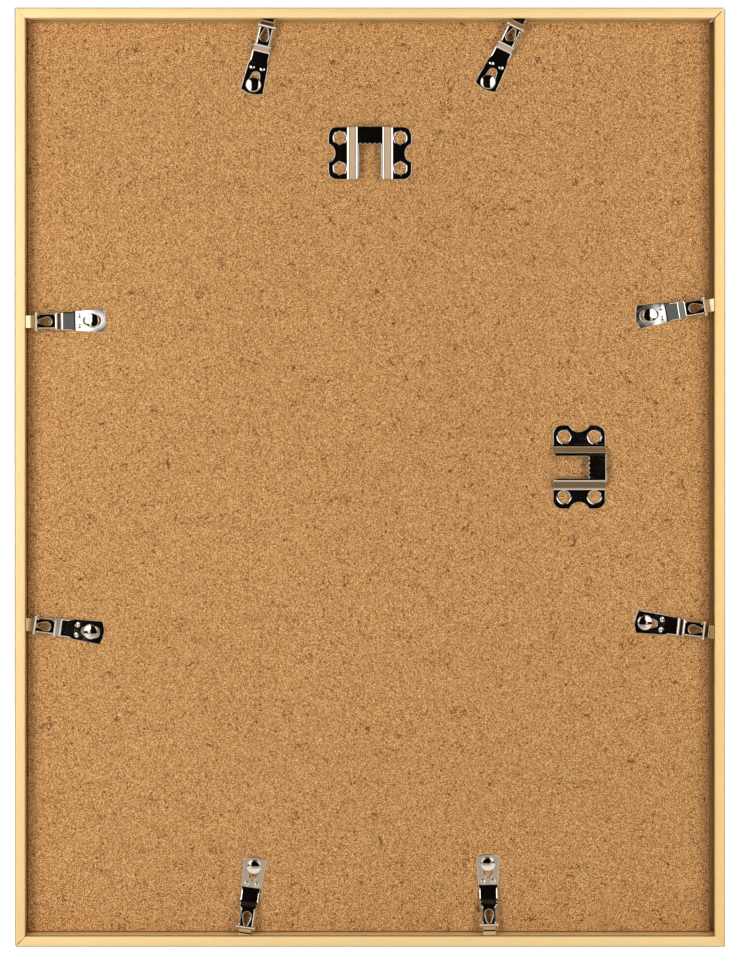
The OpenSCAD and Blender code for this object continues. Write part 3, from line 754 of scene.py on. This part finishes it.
def build_hanger(name, place, stands_for):
    """A hanger with its nail seat at X and Z zero, pressed from one blank."""
    half_w = hanger_w / 2
    foot_z = bridge_h - hanger_h
    mid_z = bridge_h - hanger_h / 2
    hollow_x = half_w + wing_hollow_r - wing_hollow_depth
    hollow_turn = math.degrees(math.acos((hollow_x - half_w) / wing_hollow_r))
    half = [(window_w / 2, foot_z + window_chamfer), (window_w / 2 + window_chamfer, foot_z)]
    half += arc((half_w - wing_corner_r, foot_z + wing_corner_r), wing_corner_r, -90, 0, 8)
    half += arc((hollow_x, mid_z), wing_hollow_r, 180 + hollow_turn, 180 - hollow_turn, 14)
    half += arc((half_w - wing_corner_r, bridge_h - wing_corner_r), wing_corner_r, 0, 90, 8)
    wave_steps = 44
    teeth = []
    for k in range(wave_steps + 1):
        x = window_w * (k / wave_steps - 0.5)
        teeth.append((x, notch_depth / 2 * (math.cos(2 * math.pi * x / tooth_pitch) - 1)))
    outline = teeth + half + [(-x, z) for x, z in reversed(half)]
    holes = [(sx * claw_pitch_x / 2, mid_z + sz * claw_pitch_z / 2)
             for sx in (-1, 1) for sz in (-1, 1)]
    funnel_r = claw_hole_r + claw_rim
    loops = [outline] + [arc(hole, funnel_r, 0, 350, 35) for hole in holes]

    def in_funnel(x, z):
        return any(math.hypot(x - hx, z - hz) < funnel_r + 0.12 for hx, hz in holes)

    shape = blank(loops, hanger_t, in_funnel)
    bend_x = bridge_w / 2
    slope = (bridge_lift - hanger_t) / riser_run
    bends = [(-bend_x - riser_run, slope, foot_bend), (-bend_x, 0, bridge_bend),
             (bend_x, -slope, bridge_bend), (bend_x + riser_run, 0, foot_bend)]
    cut_across(shape, 0, bend_stations(bends) + [cut_column * k for k in range(-12, 13)])
    cut_across(shape, 2, [foot_z + cut_row * k for k in range(1, 11)])
    cut_across(shape, 1, [-hanger_t * k / funnel_steps for k in range(1, funnel_steps)])
    path = bend_path(hanger_t, bends)
    for v in shape.verts:
        for hx, hz in holes:
            off = Vector((v.co.x - hx, v.co.z - hz))
            if abs(off.length - funnel_r) < 0.01:
                into = math.sin(-v.co.y / hanger_t * math.pi / 2)
                wide = funnel_r - claw_rim * into
                v.co.x = hx + off.x / off.length * wide
                v.co.z = hz + off.y / off.length * wide
                v.co.y = -hanger_t * (1 - math.sqrt(max(1 - into ** 2.6, 0)))
        height, rise = path(v.co.x)
        lean = math.atan(rise)
        depth = v.co.y
        v.co.x -= depth * math.sin(lean)
        v.co.y = height + depth * math.cos(lean)
    bmesh.ops.remove_doubles(shape, verts=shape.verts, dist=0.012)
    for hx, hz in holes:
        for turn in range(4):
            claw = bmesh.ops.create_cone(shape, cap_ends=True, segments=4, radius1=claw_point,
                                         radius2=claw_w / 2, depth=claw_depth)["verts"]
            bmesh.ops.rotate(shape, verts=claw, matrix=Matrix.Rotation(math.radians(45), 3, "Z"))
            bmesh.ops.scale(shape, verts=claw, vec=(claw_t / claw_w, 1, 1))
            bmesh.ops.translate(shape, verts=claw,
                                vec=(claw_hole_r + claw_set, 0, claw_root - claw_depth / 2))
            stand = Matrix.Translation((hx, 0, hz)) @ Matrix.Rotation(
                math.radians(90 * turn), 4, "Y") @ Matrix.Rotation(math.radians(-90), 4, "X")
            bmesh.ops.transform(shape, matrix=stand, verts=claw)
    mark_edges(shape)
    shade_round(shape, 40)
    make_piece(name, shape, place @ Matrix.Translation((0, -board_back, 0)), hanger_nickel,
               "frame", stands_for)


build_hanger("sawtooth_hanger_portrait", Matrix.Identity(4), "portrait_hanger")
side_low, side_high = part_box("landscape_hanger")
sideways = Matrix.Translation((side_low.x / MM + bridge_h, 0, (side_low.z + side_high.z) / 2 / MM))
build_hanger("sawtooth_hanger_landscape", sideways @ Matrix.Rotation(math.radians(-90), 4, "Y"),
             "landscape_hanger")

# The turn clips: spring steel, stamped, bent and nickel-plated. The foot lies on the board
# round its rivet, the arm has its edges folded down, and the tongue reaches behind the lip.
# Every length along the clip runs from its round end, and every width is across it.
clip_len = 36
clip_t = 0.6
clip_lift = 0.1
clip_foot_w = 10.4
clip_end_r = 11.3
clip_bend_w = 9.0
clip_shoulder_w = 8.3
clip_arm_w = 6.8
clip_ear_w = 8.2
clip_tongue_w = 5.7
clip_bend_s = 13.6
clip_rise_run = 5.7
clip_steep_run = 2.2
clip_tongue_run = 5.6
clip_step_run = 1.8
clip_tip_r = 0.9
clip_fold_h = 1.4
fold_r = 0.85
tongue_play = 0.15
slot_big_r = 2.4
slot_small_r = 1.7
slot_run = 3.9
slot_s = 4.5
slot_travel = 3.2
eye_big_r = 1.9
eye_small_r = 0.9
eye_run = 3.1
eye_from_shoulder = 3.9
pip_across = 1.05
pip_along = 0.75
pip_h = 0.17
pip_from_bend = 1.8
pip_pitch = 4.6
foot_crown = 0.03
crown_run = 3
end_droop = 0.05
droop_run = 7.5
# Where the painted beige reflection across the ears lies, its half width and its fade.
ear_middle = 0.25
ear_reflection_half = 0.38
ear_reflection_fade = 0.2
# How far the tongue's painted gold reflection fades in before the ears.
tongue_reflection_run = 0.6
bend_halves = (0.3, 0.5, 0.55, 0.28, 0.28)
edge_steps = 56
shank_r = 1.5
shank_play = 0.05
tongue_height = board_back - rear_lip_t - tongue_play
height_shares = (0.285, 0.595, 0.73)
shoulder_s = clip_bend_s + clip_rise_run + clip_steep_run
ear_s = clip_len - clip_tongue_run
step_s = ear_s + clip_step_run

clip_heights = [clip_lift + clip_t] + [tongue_height * share for share in height_shares]
clip_stops = [clip_bend_s, clip_bend_s + clip_rise_run, shoulder_s, ear_s, step_s]
clip_ends = clip_heights + [tongue_height]
clip_slopes = [(clip_ends[k + 1] - clip_ends[k]) / (clip_stops[k + 1] - clip_stops[k])
               for k in range(4)] + [0]
clip_bends = list(zip(clip_stops, clip_slopes, bend_halves))


def drop_loop(centre, big_r, small_r, run):
    """A round hole with a narrower round end that points along the clip."""
    lean = math.degrees(math.acos((big_r - small_r) / run))
    return (arc((centre, 0), big_r, lean, 360 - lean, 28)
            + arc((centre + run, 0), small_r, -lean, lean, 14))


def steps_between(s, stops):
    """Reads a value along the clip from (place, value) pairs."""
    for (start, low), (end, high) in zip(stops, stops[1:]):
        if s <= end:
            return low + (high - low) * max(s - start, 0) / (end - start)
    return stops[-1][1]


clip_widths = [(0, clip_foot_w / 2), (clip_bend_s, clip_bend_w / 2),
               (clip_bend_s + 0.6, clip_shoulder_w / 2), (shoulder_s - 0.3, clip_shoulder_w / 2),
               (shoulder_s + 1.0, clip_arm_w / 2), (ear_s - 1.2, clip_arm_w / 2),
               (ear_s - 0.5, clip_ear_w / 2), (ear_s + 0.15, clip_ear_w / 2),
               (ear_s + 0.7, clip_tongue_w / 2 + 0.1), (clip_len, clip_tongue_w / 2)]
fold_shares = [(clip_bend_s + 0.2, 0), (clip_bend_s + 1.6, 0.42), (shoulder_s - 1.4, 0.42),
               (shoulder_s - 0.2, 0.22), (shoulder_s + 1.2, 1), (ear_s - 1.5, 1), (ear_s - 0.6, 0)]
flange_h = clip_fold_h + clip_t - fold_r


def fold_at(s):
    """The fold's line, its turn in radians and the length of its flange at a place."""
    share = steps_between(s, fold_shares)
    turn = math.pi / 2 * share
    flange = flange_h * share ** 2
    line = steps_between(s, clip_widths) - fold_r * math.sin(turn) - flange * math.cos(turn)
    return line, turn, flange


def form_clip(s, depth, z, path):
    """Carries a point of the flat blank to its place on the bent and folded clip."""
    side = math.copysign(1, z)
    fold_from, turn, _ = fold_at(s)
    past = max(abs(z) - fold_from, 0)
    swept = min(past / fold_r, turn)
    rest = past - swept * fold_r
    out = min(abs(z), fold_from) + fold_r * math.sin(swept) + rest * math.cos(swept)
    fall = fold_r * (1 - math.cos(swept)) + rest * math.sin(swept)
    out += depth * math.sin(swept)
    up = -fall + depth * math.cos(swept)
    across = (z / clip_foot_w * 2) ** 2
    up -= foot_crown * min(max((clip_bend_s - s) / crown_run, 0), 1) * across
    up -= end_droop * max(1 - s / droop_run, 0) * across
    for pip_side in (-1, 1):
        off = math.hypot((s - clip_bend_s + pip_from_bend) / pip_along,
                         (z - pip_side * pip_pitch / 2) / pip_across)
        if off < 1:
            up += pip_h * (1 - off * off)
    height, rise = path(s)
    lean = math.atan(rise)
    return Vector((s - up * math.sin(lean), height + up * math.cos(lean), side * out))


clip_nickel = nickel_paint("clip_nickel", 0.00001, 0.07)


def build_clip(name, place, stands_for):
    """A turn clip that points along X from its round end, with its board face at Y zero."""
    end_turn = math.degrees(math.asin(clip_foot_w / 2 / clip_end_r))
    edge = arc((clip_end_r, 0), clip_end_r, 180 - end_turn, 180, 8)[::-1]
    for k in range(edge_steps + 1):
        s = clip_bend_s + (step_s - clip_bend_s) * k / edge_steps
        line, turn, flange = fold_at(s)
        edge.append((s, line + fold_r * turn + flange))
    edge += arc((clip_len - clip_tip_r, clip_tongue_w / 2 - clip_tip_r), clip_tip_r, 90, 0, 6)
    outline = edge + [(s, -z) for s, z in reversed(edge) if abs(z) > 1e-6]
    slot = drop_loop(slot_s, slot_big_r, slot_small_r, slot_run)
    eye = drop_loop(shoulder_s + eye_from_shoulder, eye_big_r, eye_small_r, eye_run)
    shape = blank([outline, slot, eye], clip_t)
    # The sheet is cut across close together where it curves, and far apart where it is plain.
    pip_s = clip_bend_s - pip_from_bend
    fine = [k / 5 - 1 for k in range(11)]
    widths = [0, 1.1] + [pip_pitch / 2 + pip_across * f for f in fine]
    widths += [3.4 + 0.25 * k for k in range(8)]
    cut_across(shape, 0, bend_stations(clip_bends) + [pip_s + pip_along * f for f in fine]
               + [1.1 * k for k in range(1, 10)] + [shoulder_s + 0.4 * k for k in range(1, 6)]
               + [ear_s + 1.2 - 0.3 * k for k in range(10)] + [25.6, 27.2, 28.8])
    cut_across(shape, 2, sorted({round(side * w, 3) for w in widths for side in (-1, 1)}))
    path = bend_path(clip_heights[0], clip_bends)
    # The tongue is marked for a painted gold reflection of the lip, and a band across the ears for
    # a painted beige reflection.
    tongue_gold_reflection = shape.verts.layers.float.new("tongue_gold_reflection")
    ear_beige_reflection = shape.verts.layers.float.new("ear_beige_reflection")
    for v in shape.verts:
        v[tongue_gold_reflection] = min(max((v.co.x - ear_s) / tongue_reflection_run + 0.5, 0), 1)
        # The ears' top face gets the painted beige reflection.
        off_ear = abs(v.co.x - ear_s + ear_middle)
        v[ear_beige_reflection] = min(max((ear_reflection_half - off_ear) / ear_reflection_fade, 0), 1) * (v.co.y > -clip_t / 2)
        v.co = form_clip(v.co.x, v.co.y, v.co.z, path)
    bmesh.ops.remove_doubles(shape, verts=shape.verts, dist=0.012)
    mark_edges(shape)
    shade_round(shape, 40)
    make_piece(name, shape, place, clip_nickel, stands_for, stands_for)


# Each clip's side of the frame as an angle about Y, its tilt in degrees, clockwise from
# behind, and its place on its slot as a share of the travel.
TOP, BOTTOM, LEFT, RIGHT = -90, 90, 0, 180
clips = {
    "top_left": (TOP, 13.5, 0.19), "top_right": (TOP, 26.4, 0.0),
    "left_upper": (LEFT, -0.9, 0.75), "left_lower": (LEFT, 8.1, 0.69),
    "right_upper": (RIGHT, -9.5, 0.81), "right_lower": (RIGHT, 6.9, 0.31),
    "bottom_left": (BOTTOM, 8.2, 0.22), "bottom_right": (BOTTOM, -0.8, 0.22),
}


def rivet_place(where):
    """Where the axis of a rivet meets the back of the board."""
    low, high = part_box(f"rivet_{where}")
    return Matrix.Translation(((low.x + high.x) / 2 / MM, -board_back, (low.z + high.z) / 2 / MM))


for where, (way, tilt, slide) in clips.items():
    rivet_s = slot_s - slot_big_r + shank_r + 2 * shank_play + slide * slot_travel
    turned = Matrix.Rotation(math.radians(way - tilt), 4, "Y")
    build_clip(f"turn_clip_{where}",
               rivet_place(where) @ turned @ Matrix.Translation((-rivet_s, 0, 0)), f"clip_{where}")

# The rivets: semi-tubular, nickel-plated, with a domed head over the clip and a tail that
# is rolled out in the front of the board.
head_r = 3.25
head_h = 1.3
head_rim = 0.25
dome_r = 16
edge_r = 0.4
tail_r = 2.5
tail_h = 0.9
tail_bore_r = 1
tail_bore_depth = 2
seat = clip_lift + clip_t + shank_play
rivet_nickel = nickel_paint("rivet_nickel", 0.000008, 0.08)


def build_rivet(name, place, stands_for):
    """A rivet turned about Y, with the board's face at Y zero."""
    rise = math.asin((head_r - edge_r) / dome_r)
    front = board_back - board_front
    section = [(dome_r * math.sin(rise * k / 10), seat + head_h - dome_r
                + dome_r * math.cos(rise * k / 10)) for k in range(11)]
    rim_r, rim_h = section[-1]
    section += [(rim_r + edge_r * math.sin(math.pi / 2 * k / 6),
                 rim_h - (rim_h - seat - head_rim) * (1 - math.cos(math.pi / 2 * k / 6)))
                for k in range(1, 7)]
    section += [(head_r - 0.05, seat + 0.05), (head_r - 0.15, seat), (shank_r, seat),
                (shank_r, front + tail_h), (tail_r, front), (tail_bore_r, front),
                (tail_bore_r, front + tail_bore_depth), (0, front + tail_bore_depth)]
    shape = bmesh.new()
    corners = [shape.verts.new((r, h, 0)) for r, h in section]
    edges = [shape.edges.new(pair) for pair in zip(corners, corners[1:])]
    bmesh.ops.spin(shape, geom=corners + edges, axis=(0, 1, 0), cent=(0, 0, 0), steps=48,
                   angle=2 * math.pi, use_merge=True)
    bmesh.ops.remove_doubles(shape, verts=shape.verts, dist=0.002)
    bmesh.ops.recalc_face_normals(shape, faces=shape.faces)
    shade_round(shape, 40)
    make_piece(name, shape, place, rivet_nickel, "frame", stands_for)


for where in clips:
    build_rivet(f"domed_rivet_{where}", rivet_place(where), f"rivet_{where}")
